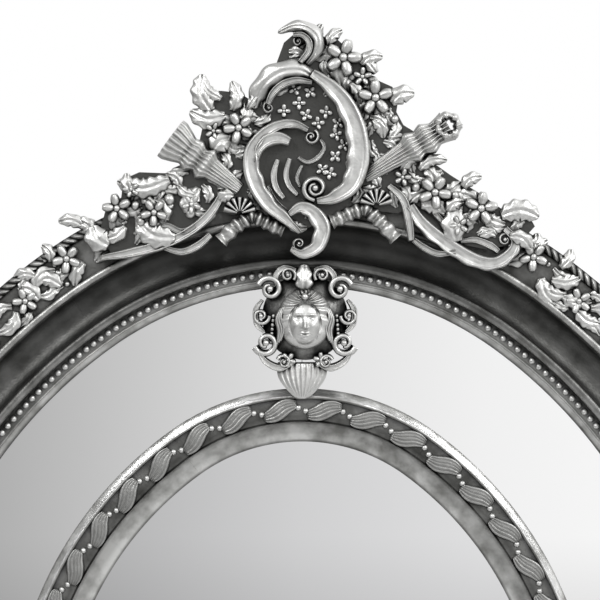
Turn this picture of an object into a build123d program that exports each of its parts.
"""Oval margin mirror in a carved, silvered frame: a central mirror in an inner oval frame, a ring of
margin glass round it, a wide outer oval frame, a carved crest on top and a mask that clasps the two frames.

Everything is drawn facing the viewer: x to the right, y up from the oval's centre, z out from the wall.
The last step turns each piece so that +Z is up, the mirror faces -Y and the wall is the plane Y = 0.
All sizes are millimetres.
"""

from build123d import *
from math import atan2, cos, degrees, hypot, pi, radians, sin
import os

# Sight edge of the outer frame, the oval that every moulding runs parallel to
SIGHT_HALF_WIDTH = 416.3
SIGHT_HALF_HEIGHT = 549.5
SIGHT_TOP_RADIUS = 330.0
TOP_ARC_HALF_ANGLE = 36.0
SIDE_ARC_HALF_ANGLE = 24.0
FRAME_JOINT_GAP = 0.1

# Layers from the wall to the front
BOARD_THICKNESS = 12.0
LINER_THICKNESS = 1.0
MARGIN_GLASS_THICKNESS = 4.0
PACKING_THICKNESS = 10.0
MIRROR_GLASS_THICKNESS = 4.0
GLASS_TO_LIP = 0.3
GLASS_EDGE_GAP = 1.0
FRAME_BACK = BOARD_THICKNESS
MARGIN_GLASS_BACK = FRAME_BACK + LINER_THICKNESS
MARGIN_GLASS_FRONT = MARGIN_GLASS_BACK + MARGIN_GLASS_THICKNESS
MIRROR_GLASS_BACK = FRAME_BACK + PACKING_THICKNESS
MIRROR_GLASS_FRONT = MIRROR_GLASS_BACK + MIRROR_GLASS_THICKNESS
GLASS_JOINT_WIDTH = 0.6

# Outer frame's section: distances outward from the sight edge, heights from the wall
OUTER_REBATE = 8.0
OUTER_LIP_HEIGHT = 22.0
FILLET_WIDTH = 6.0
BEAD_SEAT_START = 9.0
BEAD_SEAT_END = 19.5
BEAD_SEAT_HEIGHT = 27.0
TORUS_END = 29.0
TORUS_SHOULDER = 36.0
TORUS_PEAK = 40.0
COVE_START_HEIGHT = 33.0
COVE_DEPTH_HEIGHT = 27.0
COVE_END = 63.0
COVE_END_HEIGHT = 39.0
REEDING_END = 71.0
BORDER_HEIGHT = 42.0
BORDER_PEAK = 46.5
ROPE_START = 106.6
ROPE_END = 115.0
OUTER_EDGE = 115.8
OUTER_SIDE_HEIGHT = 34.0
OUTER_BACK_EDGE = 105.0

# Inner frame's section: distances outward from its own sight edge
INNER_SIGHT_INSET = 155.6
INNER_REBATE = 9.0
INNER_LIP_HEIGHT = 29.0
INNER_COVE_END = 20.0
INNER_COVE_PEAK = 40.0
RIBBON_START = 22.0
RIBBON_END = 43.0
RIBBON_SEAT_HEIGHT = 37.0
INNER_FILLET_SHOULDER = 38.0
INNER_FILLET_PEAK = 40.0
INNER_FILLET_END = 47.0
INNER_FOOT = 47.6
INNER_EDGE = 53.0
INNER_EDGE_HEIGHT = 22.0

# Repeated mouldings
BEAD_RADIUS = 3.4
BEAD_PITCH = 9.2
BEAD_LINE = 13.8
RIBBON_PITCH = 45.0
RIBBON_BEND_ROOM = 1.8
RIBBON_LENGTH = 26.0
RIBBON_SLANT = 11.0
BERRY_RADIUS = 3.2
BERRY_SPACING = 7.6
BERRY_STAGGER = 1.6

# Back board, its screws and the pads that keep the frame off the wall
BOARD_OVERLAP = 20.0
SCREW_SHANK_RADIUS = 2.0
SCREW_HEAD_RADIUS = 4.0
SCREW_CLEARANCE = 0.15
SCREW_LENGTH = 22.0
COUNTERSINK_DEPTH = 2.5
BOARD_SCREW_LINE = 18.0
INNER_SCREW_LINE = 28.0
BUMPER_RADIUS = 11.0
BUMPER_LINE = 62.0
BUMPER_ANGLE = 62.0

# Hangers: a strap screwed to the frame's back, rolled round the bar of a swinging ring
HANGER_ANGLE = 21.0
HANGER_LINE = 66.0
STRAP_WIDTH = 16.0
STRAP_LENGTH = 58.0
STRAP_THICKNESS = 1.5
RING_WIRE_RADIUS = 1.75
RING_CLEARANCE = 0.4
RING_HALF_WIDTH = 13.0
RING_DROP = 22.0
RING_CORNER_RADIUS = 4.0
STRAP_SCREW_PLACES = (13.0, 46.0)
PAN_HEAD_HEIGHT = 2.2
STRAP_SCREW_DEPTH = 13.0

# Crest: a ground plate over the frame's front, a wooden core above the frame, steel straps behind
SEAT_GAP = 0.3
CREST_PLATE_THICKNESS = 7.5
CREST_BACK = BORDER_PEAK + SEAT_GAP
CREST_FRONT = CREST_BACK + CREST_PLATE_THICKNESS
MENDING_PLATE_THICKNESS = 3.0
MENDING_PLATE_WIDTH = 20.0
MENDING_PLATE_LENGTH = 110.0
MENDING_PLATE_SPACING = 130.0
MENDING_PLATE_DROP = 48.0
MENDING_SCREW_PLACES = (-46.0, -30.0, 28.0, 46.0)
SCROLL_HEIGHT = 14.0
BOLD_SCROLL_HEIGHT = 17.0
RIBBON_BAND_HEIGHT = 14.0
LEAF_HEIGHT = 9.0
FLORET_HEIGHT = 4.0
TORCH_AXIS_HEIGHT = 4.0

# Border garland: sprigs of a flower with leaves, laid along the flat between reeding and rope
BORDER_LINE = (REEDING_END + ROPE_START) / 2
SPRIG_PITCH = 96.0
GARLAND_START = 255.0
GARLAND_END_GAP = 60.0
FLOWER_HEIGHT = 10.0

# Mask and clasps: flat backed, they bridge the torus of the outer frame and the fillet of the inner one
CLASP_BACK = TORUS_PEAK + SEAT_GAP
CLASP_PLATE_THICKNESS = 6.0
CLASP_FRONT = CLASP_BACK + CLASP_PLATE_THICKNESS
CLASP_SCROLL_HEIGHT = 6.0
HEAD_HALF_WIDTH = 19.0
HEAD_HALF_HEIGHT = 24.0
HEAD_DEPTH = 16.0
PENDANT_HEIGHT = 12.0


class Arc:
    """One arc of the sight edge: its name, centre, radius and the two directions that it runs
    between."""

    def __init__(self, name, x, y, radius, first, last):
        self.name, self.x, self.y, self.radius = name, x, y, radius
        self.first, self.last = first, last

    def length(self, outward):
        return (self.radius + outward) * radians(self.last - self.first)

    def place(self, outward, angle):
        """A point on the arc, turned so that local y points outward from the oval."""
        reach = self.radius + outward
        at = (self.x + reach * cos(radians(angle)), self.y + reach * sin(radians(angle)), 0)
        return Pos(*at) * Rot(0, 0, angle - 90)


def sight_arcs():
    """The sight edge as eight tangent arcs, clockwise from the top one."""
    top, side = radians(TOP_ARC_HALF_ANGLE), radians(90 - SIDE_ARC_HALF_ANGLE)
    rise, run = SIGHT_HALF_HEIGHT - SIGHT_TOP_RADIUS, SIGHT_HALF_WIDTH - SIGHT_TOP_RADIUS
    share = cos(top) * (1 - sin(side)) - cos(side) * (1 - sin(top))
    growth = (rise * (1 - sin(side)) - run * cos(side)) / share
    shoulder_radius = SIGHT_TOP_RADIUS + growth
    side_growth = (run * cos(top) - rise * (1 - sin(top))) / share
    side_radius = shoulder_radius + side_growth
    shoulder_x, shoulder_y = -growth * sin(top), rise - growth * cos(top)
    side_x = SIGHT_HALF_WIDTH - side_radius
    high, low = 90 - TOP_ARC_HALF_ANGLE, SIDE_ARC_HALF_ANGLE
    return [
        Arc("top", 0, rise, SIGHT_TOP_RADIUS, high, 180 - high),
        Arc("upper_right", shoulder_x, shoulder_y, shoulder_radius, low, high),
        Arc("right", side_x, 0, side_radius, -low, low),
        Arc("lower_right", shoulder_x, -shoulder_y, shoulder_radius, -high, -low),
        Arc("bottom", 0, -rise, SIGHT_TOP_RADIUS, high - 180, -high),
        Arc("lower_left", -shoulder_x, -shoulder_y, shoulder_radius, low - 180, high - 180),
        Arc("left", -side_x, 0, side_radius, 180 - low, 180 + low),
        Arc("upper_left", -shoulder_x, shoulder_y, shoulder_radius, 180 - high, 180 - low),
    ]


ARCS = sight_arcs()
ARC = {arc.name: arc for arc in ARCS}


def oval_face(outward):
    """The oval parallel to the sight edge, as a flat face."""
    edges = [
        CenterArc((arc.x, arc.y), arc.radius + outward, arc.first, arc.last - arc.first)
        for arc in ARCS
    ]
    return make_face(edges)


def along_oval(outward, distance):
    """The place a distance clockwise along a parallel oval from its top, local y pointing outward."""
    left = distance + ARCS[0].length(outward) / 2
    while True:
        for arc in ARCS:
            if left <= arc.length(outward):
                return arc.place(outward,
                    arc.last - left / arc.length(outward) * (arc.last - arc.first))
            left -= arc.length(outward)


def perimeter(outward):
    return sum(arc.length(outward) for arc in ARCS)


def evenly_round(outward, pitch, start=0.5):
    """Places at equal steps all the way round a parallel oval, the step as near the pitch as will
    close."""
    count = round(perimeter(outward) / pitch)
    step = perimeter(outward) / count
    return [along_oval(outward, step * (index + start)) for index in range(count)]


def moulding(arc, section, inset=0.0):
    """A section turned about one arc's centre, so that its x is the distance outward from the sight
    edge."""
    gap = FRAME_JOINT_GAP / (arc.radius - inset) * 180 / pi
    first = arc.first + gap / 2
    outward = (cos(radians(first)), sin(radians(first)), 0)
    plane = Plane((arc.x, arc.y, 0), x_dir=outward, z_dir=(outward[1], -outward[0], 0))
    face = plane * Pos(arc.radius - inset, 0) * section
    return revolve(face, Axis((arc.x, arc.y, 0), (0, 0, 1)), arc.last - arc.first - gap)


def outer_section():
    """Lip, fillet, bead seat, torus, wide cove, reeding, flat border and rope edge of the outer
    frame."""
    lip_back = MARGIN_GLASS_FRONT + GLASS_TO_LIP
    torus_middle = (BEAD_SEAT_END + TORUS_END) / 2
    cove_middle = (TORUS_END + COVE_END) / 2
    reeding_middle = (COVE_END + REEDING_END) / 2
    rope_middle = (ROPE_START + ROPE_END) / 2
    lip_round = (FILLET_WIDTH * 0.35, OUTER_LIP_HEIGHT + (BEAD_SEAT_HEIGHT - OUTER_LIP_HEIGHT) * 0.75)
    return make_face([
        Polyline(
            (0, OUTER_LIP_HEIGHT), (0, lip_back), (OUTER_REBATE, lip_back), (OUTER_REBATE, FRAME_BACK),
            (OUTER_BACK_EDGE, FRAME_BACK), (OUTER_EDGE, OUTER_SIDE_HEIGHT), (OUTER_EDGE, BORDER_HEIGHT),
            (ROPE_END, BORDER_HEIGHT),
        ),
        ThreePointArc((ROPE_END, BORDER_HEIGHT), (rope_middle, BORDER_PEAK - 0.3), (ROPE_START,
            BORDER_HEIGHT)),
        Line((ROPE_START, BORDER_HEIGHT), (REEDING_END, BORDER_HEIGHT)),
        ThreePointArc((REEDING_END, BORDER_HEIGHT), (reeding_middle, BORDER_PEAK), (COVE_END,
            BORDER_HEIGHT)),
        Line((COVE_END, BORDER_HEIGHT), (COVE_END, COVE_END_HEIGHT)),
        ThreePointArc((COVE_END, COVE_END_HEIGHT), (cove_middle, COVE_DEPTH_HEIGHT), (TORUS_END,
            COVE_START_HEIGHT)),
        Line((TORUS_END, COVE_START_HEIGHT), (TORUS_END, TORUS_SHOULDER)),
        ThreePointArc((TORUS_END, TORUS_SHOULDER), (torus_middle, TORUS_PEAK), (BEAD_SEAT_END,
            TORUS_SHOULDER)),
        Polyline(
            (BEAD_SEAT_END, TORUS_SHOULDER), (BEAD_SEAT_END, BEAD_SEAT_HEIGHT),
            (BEAD_SEAT_START, BEAD_SEAT_HEIGHT),
        ),
        ThreePointArc(
            (BEAD_SEAT_START, BEAD_SEAT_HEIGHT),
            ((BEAD_SEAT_START + FILLET_WIDTH) / 2, BEAD_SEAT_HEIGHT - 1),
            (FILLET_WIDTH, BEAD_SEAT_HEIGHT),
        ),
        ThreePointArc((FILLET_WIDTH, BEAD_SEAT_HEIGHT), lip_round, (0, OUTER_LIP_HEIGHT)),
    ])


def inner_section():
    """Smooth cove, seat for the ribbon moulding, round fillet and outer cove of the inner frame."""
    lip_back = MIRROR_GLASS_FRONT + GLASS_TO_LIP
    overhang_back = MARGIN_GLASS_FRONT + GLASS_TO_LIP
    fillet_middle = (RIBBON_END + INNER_FILLET_END) / 2
    cove_bow = (INNER_COVE_END * 0.55, INNER_LIP_HEIGHT + (INNER_COVE_PEAK - INNER_LIP_HEIGHT) * 0.32)
    outer_bow = (
        INNER_FILLET_END + (INNER_EDGE - INNER_FILLET_END) * 0.35,
        INNER_EDGE_HEIGHT + (INNER_FILLET_SHOULDER - INNER_EDGE_HEIGHT) * 0.35,
    )
    return make_face([
        Polyline(
            (INNER_EDGE, INNER_EDGE_HEIGHT), (INNER_EDGE, overhang_back), (INNER_FOOT, overhang_back),
            (INNER_FOOT, FRAME_BACK), (INNER_REBATE, FRAME_BACK), (INNER_REBATE, lip_back), (0,
            lip_back),
            (0, INNER_LIP_HEIGHT),
        ),
        ThreePointArc((0, INNER_LIP_HEIGHT), cove_bow, (INNER_COVE_END, INNER_COVE_PEAK)),
        Polyline(
            (INNER_COVE_END, INNER_COVE_PEAK), (RIBBON_START, RIBBON_SEAT_HEIGHT),
            (RIBBON_END, RIBBON_SEAT_HEIGHT), (RIBBON_END, INNER_FILLET_SHOULDER),
        ),
        ThreePointArc(
            (RIBBON_END, INNER_FILLET_SHOULDER),
            (fillet_middle, INNER_FILLET_PEAK),
            (INNER_FILLET_END, INNER_FILLET_SHOULDER),
        ),
        ThreePointArc((INNER_FILLET_END, INNER_FILLET_SHOULDER), outer_bow, (INNER_EDGE,
            INNER_EDGE_HEIGHT)),
    ])


def dome(radius):
    """Half a ball, its flat side down at zero."""
    return Sphere(radius, arc_size1=0, align=(Align.CENTER, Align.CENTER, Align.MIN))


def fused(shapes):
    """Join shapes that overlap; those that don't stay separate solids."""
    first, *others = shapes
    return first + others if others else first


def crowned(outline, half_width, height, length):
    """A flat outline raised to a height and rounded off across its width."""
    drop = height * 0.6
    barrel = (half_width ** 2 + drop ** 2) / (2 * drop)
    return extrude(outline, amount=height) & (
        Pos(0, length / 2, height - barrel) * Rot(90, 0, 0) * Cylinder(barrel, length * 2)
    )


def leaf(length, width, height=LEAF_HEIGHT):
    """A leaf that points up from its stalk, flat backed and crowned."""
    half = width / 2
    outline = make_face([
        ThreePointArc((0, 0), (half, length * 0.45), (0, length)),
        ThreePointArc((0, length), (-half, length * 0.45), (0, 0)),
    ])
    return crowned(outline, half, height, length)


def flower(radius, petals=5, height=FLOWER_HEIGHT):
    """Round petals about a button."""
    petal_radius = radius * 0.37
    ball = petal_radius * 1.25
    petal = Pos(0, 0, height * 0.7 - ball) * Sphere(ball) & Cylinder(
        petal_radius, height * 2
    )
    petal = petal & Pos(0, 0, height) * Box(radius * 3, radius * 3, height * 2)
    button = Cylinder(radius * 0.27, height, align=(Align.CENTER, Align.CENTER, Align.MIN))
    disc = Cylinder(radius * 0.5, height * 0.4, align=(Align.CENTER, Align.CENTER, Align.MIN))
    ring = [
        Rot(0, 0, 90 + 360 * index / petals) * Pos(radius - petal_radius, 0,
            0) * petal for index in range(petals)
    ]
    return button + [disc, *ring]


def band(spine, widths, height, eyes=()):
    """A flat-backed strap of changing width along a smooth line, with round eyes where it curls in."""
    count = len(spine)
    left, right = [], []
    for index, (x, y) in enumerate(spine):
        before, after = spine[max(index - 1, 0)], spine[min(index + 1, count - 1)]
        run_x, run_y = after[0] - before[0], after[1] - before[1]
        half = widths[index] / 2 / hypot(run_x, run_y)
        left.append((x - run_y * half, y + run_x * half))
        right.append((x + run_y * half, y - run_x * half))
    face = make_face([Spline(*left), Line(left[-1], right[-1]), Spline(*right[::-1]), Line(right[0],
        left[0])])
    discs = [
        Pos(x, y, 0) * Cylinder(radius, height, align=(Align.CENTER, Align.CENTER, Align.MIN))
        for x, y, radius in eyes
    ]
    return fused([extrude(face, amount=height), *discs])


def swag(spine, width, height, ribs):
    """A ribbed cord laid in a curve: blocks side by side on a narrow core."""
    line = Spline(*spine)
    core = band(spine, [width * 0.55] * len(spine), height * 0.6)
    block = Box(line.length / ribs * 0.72, width, height, align=(Align.CENTER, Align.CENTER, Align.MIN))
    blocks = []
    for index in range(ribs):
        share = (index + 0.5) / ribs
        at, along = line @ share, line % share
        blocks.append(Pos(at.X, at.Y, 0) * Rot(0, 0, degrees(atan2(along.Y, along.X))) * block)
    return core + blocks


def torch(tail, head, tail_radius, collar_radius, head_radius, collar_share):
    """A fluted torch that lies on the ground plate: tapering shaft, double collar, flared cup with a
    mouth."""
    length = hypot(head[0] - tail[0], head[1] - tail[1])
    collar = length * collar_share
    section = make_face(Polyline(
        (0, 0), (tail_radius, 0), (collar_radius * 0.75, collar - 6), (collar_radius, collar - 6),
        (collar_radius, collar - 2), (collar_radius * 0.85, collar), (collar_radius, collar + 2),
        (collar_radius, collar + 6), (collar_radius * 0.8, collar + 8), (head_radius, length),
        (head_radius * 0.65, length), (head_radius * 0.5, length - 10), (0, length - 10), (0, 0),
    ))
    body = revolve(section, Axis.Y, 360)
    slope = degrees(atan2(head[1] - tail[1], head[0] - tail[0]))
    laid = Pos(tail[0], tail[1], TORCH_AXIS_HEIGHT) * Rot(0, 0, slope - 90) * body
    above = Box(length * 4, length * 4, length, align=(Align.CENTER, Align.CENTER, Align.MIN))
    return laid & Pos(tail[0], tail[1], 0) * above


# Crest outlines, from the middle of the outer frame's top edge
CREST_GROUND = [
    (-202, -63), (-196, -41), (-180, -27), (-178, -9), (-162, -2), (-136, -3), (-114, 8), (-104, 21),
    (-99, 43), (-94, 59), (-95, 79), (-80, 79), (-62, 77), (-50, 69), (-44, 83), (-38, 95), (-26, 105),
    (-18, 127), (-4, 139), (14, 133), (32, 133), (48, 119), (64, 105), (72, 91), (90, 83), (96, 71),
    (94, 58), (101, 45), (114, 37), (120, 21), (134, 5), (148, -5), (164, -15), (180, -25),
    (195, -36), (206, -43), (228, -49), (232, -56), (220, -69), (204, -75), (184, -79), (164, -75),
    (144, -61), (126, -41), (112, -33), (96, -43), (78, -41), (54, -33), (32, -43), (16, -53),
    (-2, -61), (-14, -57), (-32, -47), (-52, -39), (-68, -45), (-84, -41), (-98, -49), (-116, -61),
    (-138, -69), (-164, -77), (-190, -83),
]
CREST_CORE = [
    (-96, -39), (-92, 51), (-74, 67), (-46, 67), (-30, 91), (-12, 119), (10, 123), (38, 115),
    (60, 95), (82, 71), (90, 51), (102, 33), (110, -39),
]


def on_crest(shape, height=CREST_FRONT):
    """Place a crest piece: its origin goes to the middle of the frame's top edge, its back to a
    height."""
    return Pos(0, SIGHT_HALF_HEIGHT + OUTER_EDGE, height) * shape


def turned(shape, x, y, angle):
    return Pos(x, y, 0) * Rot(0, 0, angle) * shape


def crest_outer_scroll():
    """The broad C-scroll that closes the cartouche on the right and curls in at its foot."""
    spine = [(10, 96), (29, 82), (43, 65), (52, 45), (56, 24), (55, 4), (48, -15), (32, -27), (15, -31)]
    return band(spine, [7, 12, 16, 18, 19, 20, 17, 12, 8], BOLD_SCROLL_HEIGHT, [(13, -19, 13)])


def crest_left_scroll():
    """The narrower C-scroll on the left, with a knob at its upper end and a long tail."""
    spine = [(-2, -62), (-17, -48), (-33, -34), (-44, -17), (-50, 1), (-50, 19), (-41, 33), (-26,
        43), (-9, 46), (6, 40)]
    return band(spine, [3, 9, 13, 15, 15, 12, 10, 9, 9, 8], SCROLL_HEIGHT, [(10, 34, 7)])


def crest_top_leaf():
    """The hooked acanthus lobe that arches over the cartouche to the left."""
    spine = [(9, 95), (-4, 99), (-21, 96), (-35, 86), (-43, 74), (-46, 63)]
    return band(spine, [14, 18, 18, 15, 11, 6], SCROLL_HEIGHT, [(-32, 63, 5)])


def crest_finial():
    """The curled leaf at the very top."""
    spine = [(3, 109), (14, 121), (15, 134), (5, 143), (-9, 145), (-23, 140)]
    return band(spine, [14, 15, 14, 13, 11, 6], SCROLL_HEIGHT, [(-1, 130, 5)])


def crest_drop_scroll():
    """The comma-shaped scroll that hangs from the cartouche over the cove."""
    outline = Spline(
        (-12, -42), (-5, -35), (5, -34), (17, -43), (23, -56), (21, -70), (10, -83), (-4, -87), (-14,
        -81),
        (-14, -73), (-4, -71), (2, -65), (-1, -58), (-9, -50), periodic=True,
    )
    return extrude(make_face(outline), amount=SCROLL_HEIGHT)


def cartouche_ribs():
    """Raised ribs and a thin curl inside the cartouche."""
    ribs = [
        band([(-24, 9), (-27, -4), (-25, -17), (-19, -26)], [5, 7, 7, 5], SCROLL_HEIGHT * 0.6),
        band([(-12, 11), (-16, -3), (-13, -15), (-6, -23)], [4, 5, 5, 4], SCROLL_HEIGHT * 0.6),
        band([(19, 30), (22, 22), (15, 13), (5, 9), (-3, 13)], [3, 4, 4, 4, 3], SCROLL_HEIGHT * 0.5),
        turned(leaf(20, 13), *(-40, 21), -50),
    ]
    return ribs


FLORET_PLACES = [
    (-3, 67), (-7, 81), (8, 78), (24, 58), (34, 36), (33, 14), (28, -3), (16, 47), (20, 1),
]
FLOWER_PLACES = [
    (41, 112, 19), (73, 72, 17), (-63, 42, 15), (132, -22, 16), (178, -38, 16),
    (-184, -38, 14), (-147, -42, 12),
]
CREST_LEAVES = [
    (16, 119, 27, 13, -8), (26, 123, 22, 12, -40), (58, 105, 24, 14, -70), (88, 67, 26, 18, -68),
    (-90, 59, 38, 20, 14), (-69, 59, 30, 14, 2), (-55, 61, 24, 10, -18), (-76, 54, 36, 20, 82),
    (-132, -9, 52, 20, 92), (-90, 19, 26, 22, -60), (64, 35, 18, 10, 10), (83, 41, 20, 12, 50),
    (98, -1, 34, 12, -58), (116, 1, 30, 12, -72), (-126, -67, 42, 24, 66), (-192, -75, 26, 24, 40),
    (-137, -51, 24, 18, 30), (154, -71, 34, 24, -6), (198, -45, 38, 22, -92), (-112, -43, 26, 20, -20),
    (118, -34, 26, 18, -110), (144, -41, 20, 14, -60), (-106, -25, 20, 12, 60), (-67, -25, 18, 14, 110),
]
CREST_BUDS = [
    (-132, -29, 7), (-113, -26, 6), (-111, -43, 6), (-166, -35, 6), (-160, -51, 6), (152, -25, 5),
    (114, -17, 5), (102, 11, 6), (166, -51, 5),
]


def crest_ribbons(side):
    """Fluttering ribbons that pass over the border below each torch."""
    if side == "left":
        return [
            band([(-201, -87), (-170, -82), (-137, -73), (-114, -62), (-97, -49), (-85, -34), (-78,
                -20)],
                 [5, 9, 10, 9, 9, 8, 5], RIBBON_BAND_HEIGHT),
            band([(-137, -77), (-120, -81), (-104, -75), (-91, -64)], [5, 6, 7, 6],
                RIBBON_BAND_HEIGHT * 0.8),
        ]
    return [
        band([(86, -15), (100, -28), (106, -47), (109, -70)], [6, 8, 8, 6], RIBBON_BAND_HEIGHT),
        band([(111, -69), (122, -77), (136, -83), (153, -81)], [5, 6, 6, 4], RIBBON_BAND_HEIGHT * 0.8),
    ]


def crest_leaf_scroll():
    """The long C-scroll at the right end, which curls back under the flowers."""
    spine = [(108, -35), (118, -51), (134, -66), (154, -80), (176, -91), (194, -92), (209, -81),
        (212, -69), (202, -58)]
    inner = [(157, -71), (172, -69), (188, -75), (196, -81)]
    return [
        band(spine, [9, 12, 14, 14, 13, 13, 12, 10, 7], RIBBON_BAND_HEIGHT),
        band(inner, [4, 6, 7, 5], RIBBON_BAND_HEIGHT * 0.7),
    ]


CREST_SWAGS = {
    "left": [(-81, -70), (-69, -58), (-59, -51), (-50, -46), (-40, -49), (-30, -54), (-18, -59)],
    "right": [(29, -51), (41, -46), (52, -41), (64, -39), (73, -46), (82, -55), (94, -68)],
}
CREST_SHELLS = {"left": (-62, -43, 15), "right": (74, -35, 15)}


def half_shell(radius, height):
    """A low fan shell, the straight side down."""
    disc = Cylinder(radius, height, align=(Align.CENTER, Align.CENTER, Align.MIN))
    return disc & Pos(0, radius, 0) * Box(radius * 2, radius * 2, height * 4)


# Clasp outlines, from the middle of the outer frame's top sight edge
PLAQUE_OUTLINE = [
    (-30, 10.5), (-22, 16.5), (-11, 20.5), (1, 16.5), (16, 19.5), (26, 21.5), (32, 14.5), (41, -1.5),
    (49, -12.5),
    (54, -25.5), (54, -41.5), (53, -55.5), (48, -67.5), (39, -74.5), (25, -79.5), (-24, -79.5), (-38,
    -71.5), (-46, -59.5),
    (-48, -43.5), (-47, -25.5), (-45, -9.5), (-32, -1.5),
]
PLAQUE_RINGS = [(-34, -31.5, 10), (-32, -58.5, 12), (44, -32.5, 10), (33, -63.5, 10)]
PENDANT_OUTLINE = [(-1, -112.5), (-16, -103.5), (-25, -89.5), (-23, -79.9), (24, -79.9), (24, -89.5),
    (14, -103.5)]
HEAD_CENTRE = (3, -35.5)


def plaque():
    """The pierced-looking plaque behind the mask: a plate with four rolled scrolls on it."""
    points = PLAQUE_OUTLINE
    plate = extrude(make_face(Polyline(*points, points[0])), amount=CLASP_PLATE_THICKNESS)
    rings = [
        Pos(x, y, CLASP_PLATE_THICKNESS + CLASP_SCROLL_HEIGHT / 2)
        * (Cylinder(radius, CLASP_SCROLL_HEIGHT) - Cylinder(radius - 4, CLASP_SCROLL_HEIGHT))
        for x, y, radius in PLAQUE_RINGS
    ]
    return plate + rings


def head():
    """A plain oval head in low relief with a nose, under a roll of hair with a round jewel."""
    face = scale(dome(1), by=(HEAD_HALF_WIDTH, HEAD_HALF_HEIGHT, HEAD_DEPTH))
    nose = Pos(0, -2, HEAD_DEPTH - 2) * Cone(3.2, 1.4, 5)
    hair = Pos(0, HEAD_HALF_HEIGHT * 0.55, 0) * scale(dome(1), by=(HEAD_HALF_WIDTH + 6, 16,
        HEAD_DEPTH - 1))
    jewel = Pos(0, HEAD_HALF_HEIGHT * 0.75, HEAD_DEPTH - 5) * Sphere(8)
    return face + [hair, nose, jewel]


def pendant():
    """The heart-shaped shell that covers the inner frame's outer cove."""
    points = PENDANT_OUTLINE
    plate = extrude(make_face(Polyline(*points, points[0])), amount=PENDANT_HEIGHT)
    ball = 40.0
    low_x, low_y = points[0]
    return plate & Pos(low_x, low_y + 18, PENDANT_HEIGHT - ball) * Sphere(ball)


def clasp_shell():
    """The fan shell of the bottom clasp, in the place that the mask has on the top one."""
    ball = 34.0
    disc = Cylinder(26, 14, align=(Align.CENTER, Align.CENTER, Align.MIN))
    return disc & Pos(0, 0, 14 - ball) * Sphere(ball)


def on_sight_edge(shape, height, bottom=False):
    """Place a clasp piece at the top of the oval, or turned half round at the bottom."""
    turn = 180 if bottom else 0
    return Rot(0, 0, turn) * Pos(0, SIGHT_HALF_HEIGHT, height) * shape


SPRIG_LEAVES = [
    (-12, 4, 20, 14, 74), (-12, -5, 22, 15, 108), (-29, 2, 18, 13, 66), (-28, -7, 18, 13, 104),
    (12, 4, 20, 14, -70), (12, -6, 20, 14, -106), (29, -1, 15, 12, -92),
]


def sprig():
    """One repeat of the border garland, bent to the border's mean curve: a flower between leaves."""
    bend = (ARC["top"].radius + ARC["right"].radius) / 2 + BORDER_LINE
    leaves = []
    for x, y, length, width, angle in SPRIG_LEAVES:
        swing = x / bend
        at_x, at_y = (bend + y) * sin(swing), (bend + y) * cos(swing) - bend
        leaves.append(turned(leaf(length, width), at_x, at_y, angle - swing * 180 / pi))
    return flower(13) + leaves


def countersunk_screw():
    """Points towards the viewer from the wall side, its head flush at zero."""
    return revolve(make_face(Polyline(
        (0, 0), (SCREW_HEAD_RADIUS, 0), (SCREW_SHANK_RADIUS, COUNTERSINK_DEPTH),
        (SCREW_SHANK_RADIUS, SCREW_LENGTH - 3), (0, SCREW_LENGTH), (0, 0),
    )), Axis.Y, 360).rotate(Axis.X, 90)


def countersunk_hole():
    """The space that a countersunk screw needs, with its clearance."""
    wide, narrow = SCREW_HEAD_RADIUS + SCREW_CLEARANCE, SCREW_SHANK_RADIUS + SCREW_CLEARANCE
    return revolve(make_face(Polyline(
        (0, -1), (wide, -1), (wide, 0), (narrow, COUNTERSINK_DEPTH), (narrow,
        SCREW_LENGTH + SCREW_CLEARANCE),
        (0, SCREW_LENGTH + SCREW_CLEARANCE), (0, -1),
    )), Axis.Y, 360).rotate(Axis.X, 90)


def pan_screw(depth):
    """A pan-head screw whose head stands on the wall side of zero."""
    head_radius = SCREW_HEAD_RADIUS
    return revolve(make_face(Polyline(
        (0, -PAN_HEAD_HEIGHT), (head_radius - 1, -PAN_HEAD_HEIGHT), (head_radius, 0),
        (SCREW_SHANK_RADIUS, 0),
        (SCREW_SHANK_RADIUS, depth - 3), (0, depth), (0, -PAN_HEAD_HEIGHT),
    )), Axis.Y, 360).rotate(Axis.X, 90)


def pilot_hole(depth):
    radius = SCREW_SHANK_RADIUS + SCREW_CLEARANCE
    return Cylinder(radius, depth + SCREW_CLEARANCE, align=(Align.CENTER, Align.CENTER, Align.MIN))


def board_screw_places():
    """Screws through the back board: a few in each piece of the outer frame and of the inner frame."""
    places = []
    for arc in ARCS:
        count = 1 if "_" in arc.name else 3
        for index in range(count):
            angle = arc.first + (index + 0.5) / count * (arc.last - arc.first)
            places.append(arc.place(BOARD_SCREW_LINE, angle))
        inner_count = 1 if "_" in arc.name else 2
        for index in range(inner_count):
            angle = arc.first + (index + 0.5) / inner_count * (arc.last - arc.first)
            places.append(arc.place(INNER_SCREW_LINE - INNER_SIGHT_INSET, angle))
    return places


def hanger_place(side):
    """Middle of a hanger ring's bar, seen from the front."""
    arc = ARC["right"]
    x = arc.x + (arc.radius + HANGER_LINE) * cos(radians(HANGER_ANGLE))
    y = (arc.radius + HANGER_LINE) * sin(radians(HANGER_ANGLE))
    return (x if side == "right" else -x), y


BAR_HEIGHT = FRAME_BACK - RING_WIRE_RADIUS - RING_CLEARANCE - STRAP_THICKNESS


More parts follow.
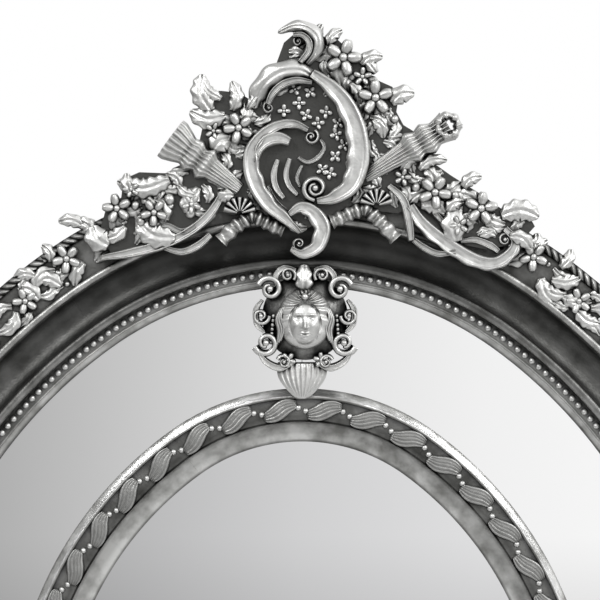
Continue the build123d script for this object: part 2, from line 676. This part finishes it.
def hanger_strap():
    """A steel strap, rolled at its foot round the ring's bar; its origin is the middle of the bar."""
    hole = RING_WIRE_RADIUS + RING_CLEARANCE
    roll = hole + STRAP_THICKNESS
    loop = Rot(0, 90, 0) * (Cylinder(roll, STRAP_WIDTH) - Cylinder(hole, STRAP_WIDTH))
    plate = Pos(0, 0, hole) * Box(
        STRAP_WIDTH, STRAP_LENGTH, STRAP_THICKNESS, align=(Align.CENTER, Align.MIN, Align.MIN)
    )
    strap = loop + plate
    for place in STRAP_SCREW_PLACES:
        strap -= Pos(0, place, 0) * pilot_hole(roll + 1)
    return strap


def hanger_ring():
    """A D-shaped wire ring, its bar at the origin, hanging down."""
    half, corner = RING_HALF_WIDTH, RING_CORNER_RADIUS
    bend = half - 0.01
    path = Wire([
        Edge.make_line((-half + corner, 0, 0), (half - corner, 0, 0)),
        Edge.make_three_point_arc(
            (half - corner, 0, 0),
            (half - corner + corner * sin(pi / 4), -corner + corner * cos(pi / 4), 0),
            (half, -corner, 0),
        ),
        Edge.make_line((half, -corner, 0), (half, -(RING_DROP - half), 0)),
        Edge.make_three_point_arc((half, -(RING_DROP - half), 0), (0, -RING_DROP, 0), (-half,
            -(RING_DROP - half), 0)),
        Edge.make_line((-half, -(RING_DROP - half), 0), (-half, -corner, 0)),
        Edge.make_three_point_arc(
            (-half, -corner, 0),
            (-half + corner - corner * sin(pi / 4), -corner + corner * cos(pi / 4), 0),
            (-half + corner, 0, 0),
        ),
    ])
    section = Plane((0, 0, 0), z_dir=(1, 0, 0)) * Circle(RING_WIRE_RADIUS)
    return sweep(section, path=path)


def mending_places():
    """Places of the screws in the two steel straps behind the crest, seen from the front."""
    middle = SIGHT_HALF_HEIGHT + OUTER_EDGE + MENDING_PLATE_LENGTH / 2 - MENDING_PLATE_DROP
    for x in (-MENDING_PLATE_SPACING / 2, MENDING_PLATE_SPACING / 2):
        yield x, middle


def build():
    nodes = {}
    screws = board_screw_places()
    board_holes = [place * countersunk_hole() for place in screws]
    hangers = {side: hanger_place(side) for side in ("left", "right")}
    strap_holes = [
        Pos(x, y + up, FRAME_BACK - 1) * pilot_hole(STRAP_SCREW_DEPTH)
        for x, y in hangers.values() for up in STRAP_SCREW_PLACES
    ]
    mending_holes = [
        Pos(x, y + up, FRAME_BACK - 1) * pilot_hole(STRAP_SCREW_DEPTH)
        for x, y in mending_places() for up in MENDING_SCREW_PLACES
    ]
    frame_holes = board_holes + strap_holes + mending_holes

    outer, inner = outer_section(), inner_section()
    for arc in ARCS:
        nodes["outer_frame_" + arc.name] = cleared(moulding(arc, outer), frame_holes)
        nodes["inner_frame_" + arc.name] = cleared(moulding(arc, inner, INNER_SIGHT_INSET), board_holes)

    bead = dome(BEAD_RADIUS)
    nodes["bead_moulding"] = group(
        Pos(0, 0, BEAD_SEAT_HEIGHT) * place * bead for place in evenly_round(BEAD_LINE, BEAD_PITCH)
    )
    ribbon, berries = ribbon_repeat()
    ribbon_line = (RIBBON_START + RIBBON_END) / 2 - INNER_SIGHT_INSET
    nodes["ribbon_moulding"] = group(
        Pos(0, 0, RIBBON_SEAT_HEIGHT) * place * ribbon for place in evenly_round(ribbon_line,
            RIBBON_PITCH)
    )
    nodes["berry_moulding"] = group(
        Pos(0, 0, RIBBON_SEAT_HEIGHT) * place * berry
        for place in evenly_round(ribbon_line, RIBBON_PITCH, 1.0) for berry in berries
    )

    glass_outside = OUTER_REBATE - GLASS_EDGE_GAP
    glass_inside = INNER_FOOT + GLASS_EDGE_GAP - INNER_SIGHT_INSET
    ring = oval_face(glass_outside) - oval_face(glass_inside)
    nodes["margin_liner"] = Pos(0, 0, FRAME_BACK) * extrude(ring, amount=LINER_THICKNESS)
    glass = Pos(0, 0, MARGIN_GLASS_BACK) * extrude(ring, amount=MARGIN_GLASS_THICKNESS)
    reach = SIGHT_HALF_HEIGHT * 4
    for side, sign in (("left", -1), ("right", 1)):
        half = Pos(sign * (reach + GLASS_JOINT_WIDTH) / 2, 0, 0) * Box(reach, reach, reach)
        nodes["margin_glass_" + side] = glass & half
    mirror_face = oval_face(INNER_REBATE - GLASS_EDGE_GAP - INNER_SIGHT_INSET)
    nodes["inner_packing_board"] = Pos(0, 0, FRAME_BACK) * extrude(mirror_face,
        amount=PACKING_THICKNESS)
    nodes["inner_mirror_glass"] = Pos(0, 0, MIRROR_GLASS_BACK) * extrude(mirror_face,
        amount=MIRROR_GLASS_THICKNESS)

    board = extrude(oval_face(OUTER_REBATE + BOARD_OVERLAP), amount=BOARD_THICKNESS)
    nodes["back_board"] = cleared(board, board_holes)
    nodes["back_board_screws"] = group(place * countersunk_screw() for place in screws)
    bumper = Cylinder(BUMPER_RADIUS, BOARD_THICKNESS, align=(Align.CENTER, Align.CENTER, Align.MIN))
    nodes["wall_bumpers"] = group(
        ARC["bottom"].place(BUMPER_LINE, -angle) * bumper for angle in (BUMPER_ANGLE,
            180 - BUMPER_ANGLE)
    )

    for side, (x, y) in hangers.items():
        nodes["hanger_strap_" + side] = Pos(x, y, BAR_HEIGHT) * hanger_strap()
        nodes["hanger_ring_" + side] = Pos(x, y, BAR_HEIGHT) * hanger_ring()
    strap_back = FRAME_BACK - STRAP_THICKNESS
    nodes["hanger_screws"] = group(
        Pos(x, y + up, strap_back) * pan_screw(STRAP_SCREW_DEPTH)
        for x, y in hangers.values() for up in STRAP_SCREW_PLACES
    )
    nodes.update(crest_nodes(mending_holes))
    nodes.update(clasp_nodes())
    nodes.update(garland_nodes())
    return nodes


def meet(one, other):
    """Whether two bounding boxes overlap as seen from the front."""
    across = one.min.X < other.max.X and other.min.X < one.max.X
    return across and one.min.Y < other.max.Y and other.min.Y < one.max.Y


def group(shapes):
    """Separate solids kept together as one piece."""
    return Compound([solid for shape in shapes for solid in shape.solids()])


def ribbon_repeat():
    """The repeats of the inner moulding: a slanting wrap of ribbon, and two berries that lie between
    wraps."""
    half, lean = RIBBON_LENGTH / 2, RIBBON_SLANT
    wide = (RIBBON_END - RIBBON_START) / 2 - RIBBON_BEND_ROOM
    slant = make_face(Polyline(
        (-half + lean, -wide), (half + lean, -wide), (half - lean, wide), (-half - lean, wide),
        (-half + lean, -wide)
    ))
    rod = Rot(0, 90, 0) * Cylinder(wide, RIBBON_PITCH * 2)
    ribbon = extrude(slant, amount=wide) & rod
    berry = dome(BERRY_RADIUS)
    return ribbon, [Pos(side * BERRY_SPACING / 2, -side * BERRY_STAGGER, 0) * berry for side in (-1, 1)]


def crest_nodes(core_holes):
    """The crest: everything that stands on, or is let into, its ground plate."""
    plate = extrude(make_face(Polyline(*CREST_GROUND, CREST_GROUND[0])), amount=CREST_PLATE_THICKNESS)
    let_in = {
        "crest_ribbons_left": crest_ribbons("left"),
        "crest_ribbons_right": crest_ribbons("right"),
        "crest_swag_left": [swag(CREST_SWAGS["left"], 12, RIBBON_BAND_HEIGHT, 8)],
        "crest_swag_right": [swag(CREST_SWAGS["right"], 12, RIBBON_BAND_HEIGHT, 9)],
        "crest_leaf_scroll": crest_leaf_scroll(),
    }
    laid_on = {
        "crest_outer_scroll": [crest_outer_scroll()],
        "crest_left_scroll": [crest_left_scroll()],
        "crest_drop_scroll": [crest_drop_scroll()],
        "crest_top_leaf": [crest_top_leaf()],
        "crest_finial": [crest_finial()],
        "crest_torch_left": [torch((-62, -19), (-136, 34), 7, 15, 18, 0.56)],
        "crest_torch_right": [torch((62, -7), (151, 48), 6, 14, 15, 0.62)],
        "crest_cartouche_ribs": cartouche_ribs(),
        "crest_flowers": [turned(flower(radius), x, y, x) for x, y, radius in FLOWER_PLACES],
        "crest_florets": [turned(flower(6.5, 4, FLORET_HEIGHT), x, y, y * 3) for x, y in FLORET_PLACES],
        "crest_leaves": [
            turned(leaf(length, width), x, y, angle) for x, y, length, width, angle in CREST_LEAVES
        ] + [turned(dome(radius), x, y, 0) for x, y, radius in CREST_BUDS] + [
            turned(half_shell(radius, SCROLL_HEIGHT * 0.7), x, y, 0) for x, y,
                radius in CREST_SHELLS.values()
        ],
    }
    nodes, taken = {}, []
    for name, shapes in let_in.items():
        shape = cleared(on_crest(fused(shapes), CREST_BACK), taken)
        nodes[name] = shape
        taken.append(shape)
    for name, shapes in laid_on.items():
        shape = cleared(on_crest(fused(shapes)), taken)
        nodes[name] = shape
        taken.append(shape)
    nodes["crest_ground_plate"] = cleared(on_crest(plate, CREST_BACK), [nodes[name] for name in let_in])
    core = on_crest(extrude(make_face(Polyline(*CREST_CORE, CREST_CORE[0])),
        amount=CREST_BACK - FRAME_BACK), FRAME_BACK)
    under = extrude(oval_face(OUTER_EDGE + SEAT_GAP), amount=CREST_BACK * 2)
    nodes["crest_core"] = cleared(core - under, core_holes)
    strap = Box(
        MENDING_PLATE_WIDTH, MENDING_PLATE_LENGTH, MENDING_PLATE_THICKNESS,
        align=(Align.CENTER, Align.CENTER, Align.MAX),
    )
    for up in MENDING_SCREW_PLACES:
        strap -= Pos(0, up, -MENDING_PLATE_THICKNESS - 1) * pilot_hole(MENDING_PLATE_THICKNESS + 2)
    nodes["crest_mending_plates"] = group(Pos(x, y, FRAME_BACK) * strap for x, y in mending_places())
    nodes["crest_screws"] = group(
        Pos(x, y + up, FRAME_BACK - MENDING_PLATE_THICKNESS) * pan_screw(STRAP_SCREW_DEPTH)
        for x, y in mending_places() for up in MENDING_SCREW_PLACES
    )
    return nodes


def cleared(shape, taken):
    """Cut away what other pieces already fill."""
    room = shape.bounding_box()
    near = [other for other in taken if meet(room, other.bounding_box())]
    return shape - near if near else shape


def clasp_nodes():
    """The mask clasp at the top and the shell clasp at the bottom."""
    x, y = HEAD_CENTRE
    return {
        "mask_plaque": on_sight_edge(plaque(), CLASP_BACK),
        "mask_head": on_sight_edge(Pos(x, y, 0) * head(), CLASP_FRONT),
        "mask_pendant": on_sight_edge(pendant(), CLASP_BACK),
        "bottom_clasp_plaque": on_sight_edge(plaque(), CLASP_BACK, bottom=True),
        "bottom_clasp_shell": on_sight_edge(Pos(x, y, 0) * clasp_shell(), CLASP_FRONT, bottom=True),
        "bottom_clasp_pendant": on_sight_edge(pendant(), CLASP_BACK, bottom=True),
    }


def garland_nodes():
    """Sprigs down each side of the border, from the crest's end to the bottom."""
    repeat = sprig()
    run = perimeter(BORDER_LINE) / 2 - GARLAND_START - GARLAND_END_GAP
    count = round(run / SPRIG_PITCH)
    nodes = {}
    for side in ("right", "left"):
        places = []
        for index in range(count):
            distance = GARLAND_START + (index + 0.5) * run / count
            if side == "left":
                distance = perimeter(BORDER_LINE) - distance
            places.append(along_oval(BORDER_LINE, distance))
        nodes["garland_" + side] = group(Pos(0, 0, BORDER_HEIGHT) * place * repeat for place in places)
    return nodes


os.makedirs("parts", exist_ok=True)
for name, shape in build().items():
    export_step(Compound(Rot(90, 0, 0) * shape), os.path.join("parts", name + ".step"))
